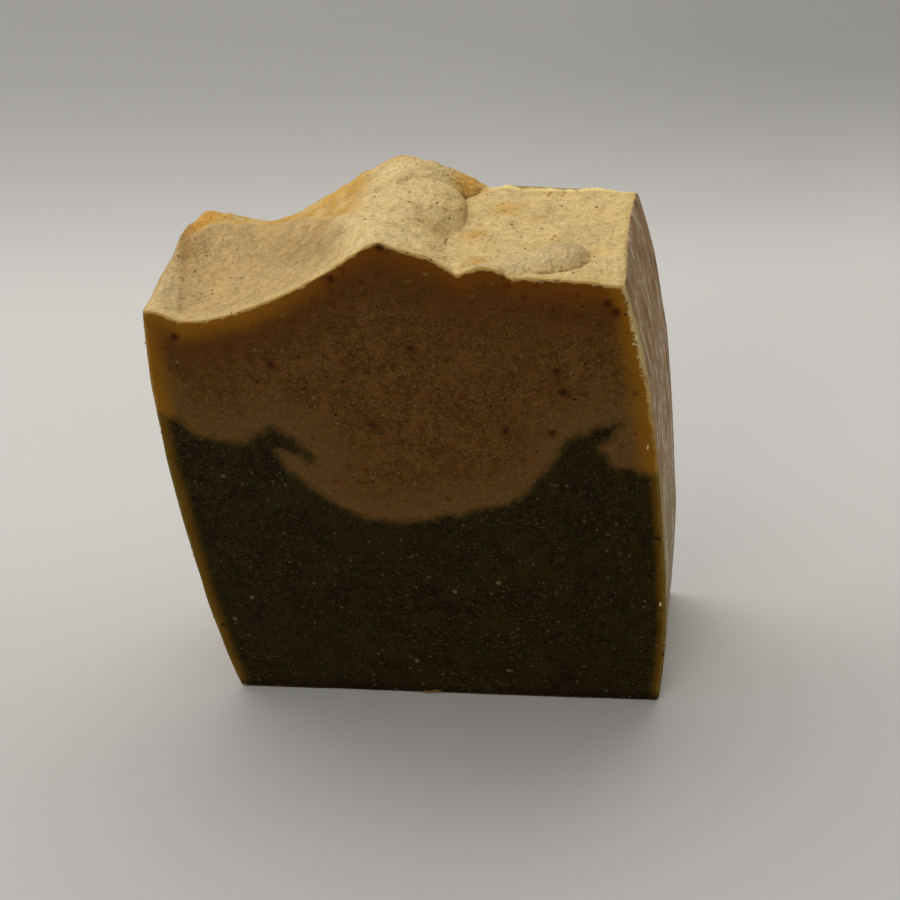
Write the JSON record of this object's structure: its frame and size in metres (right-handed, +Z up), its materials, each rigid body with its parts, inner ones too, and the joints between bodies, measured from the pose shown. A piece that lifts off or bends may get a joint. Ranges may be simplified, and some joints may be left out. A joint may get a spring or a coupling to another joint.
{
  "type": "soap bar",
  "caption": "Cut slice of a two-colour poured soap loaf with bowed mould sides, flat base and a folded, peaked top.",
  "frame": {"origin": "middle of the moulded base, on the surface that the bar stands on", "axes": "+Z up towards the peaked top, +X across the mould's width, +Y back through the slice's thickness"},
  "size_m": [0.0807, 0.03, 0.089],
  "materials": {
    "soap": "waxy matte, brown over dark olive, amber at the edges, pale cream powdery top"
  },
  "bodies": {
    "root": {"soap_bar": "soap"}
  },
  "joints": []
}
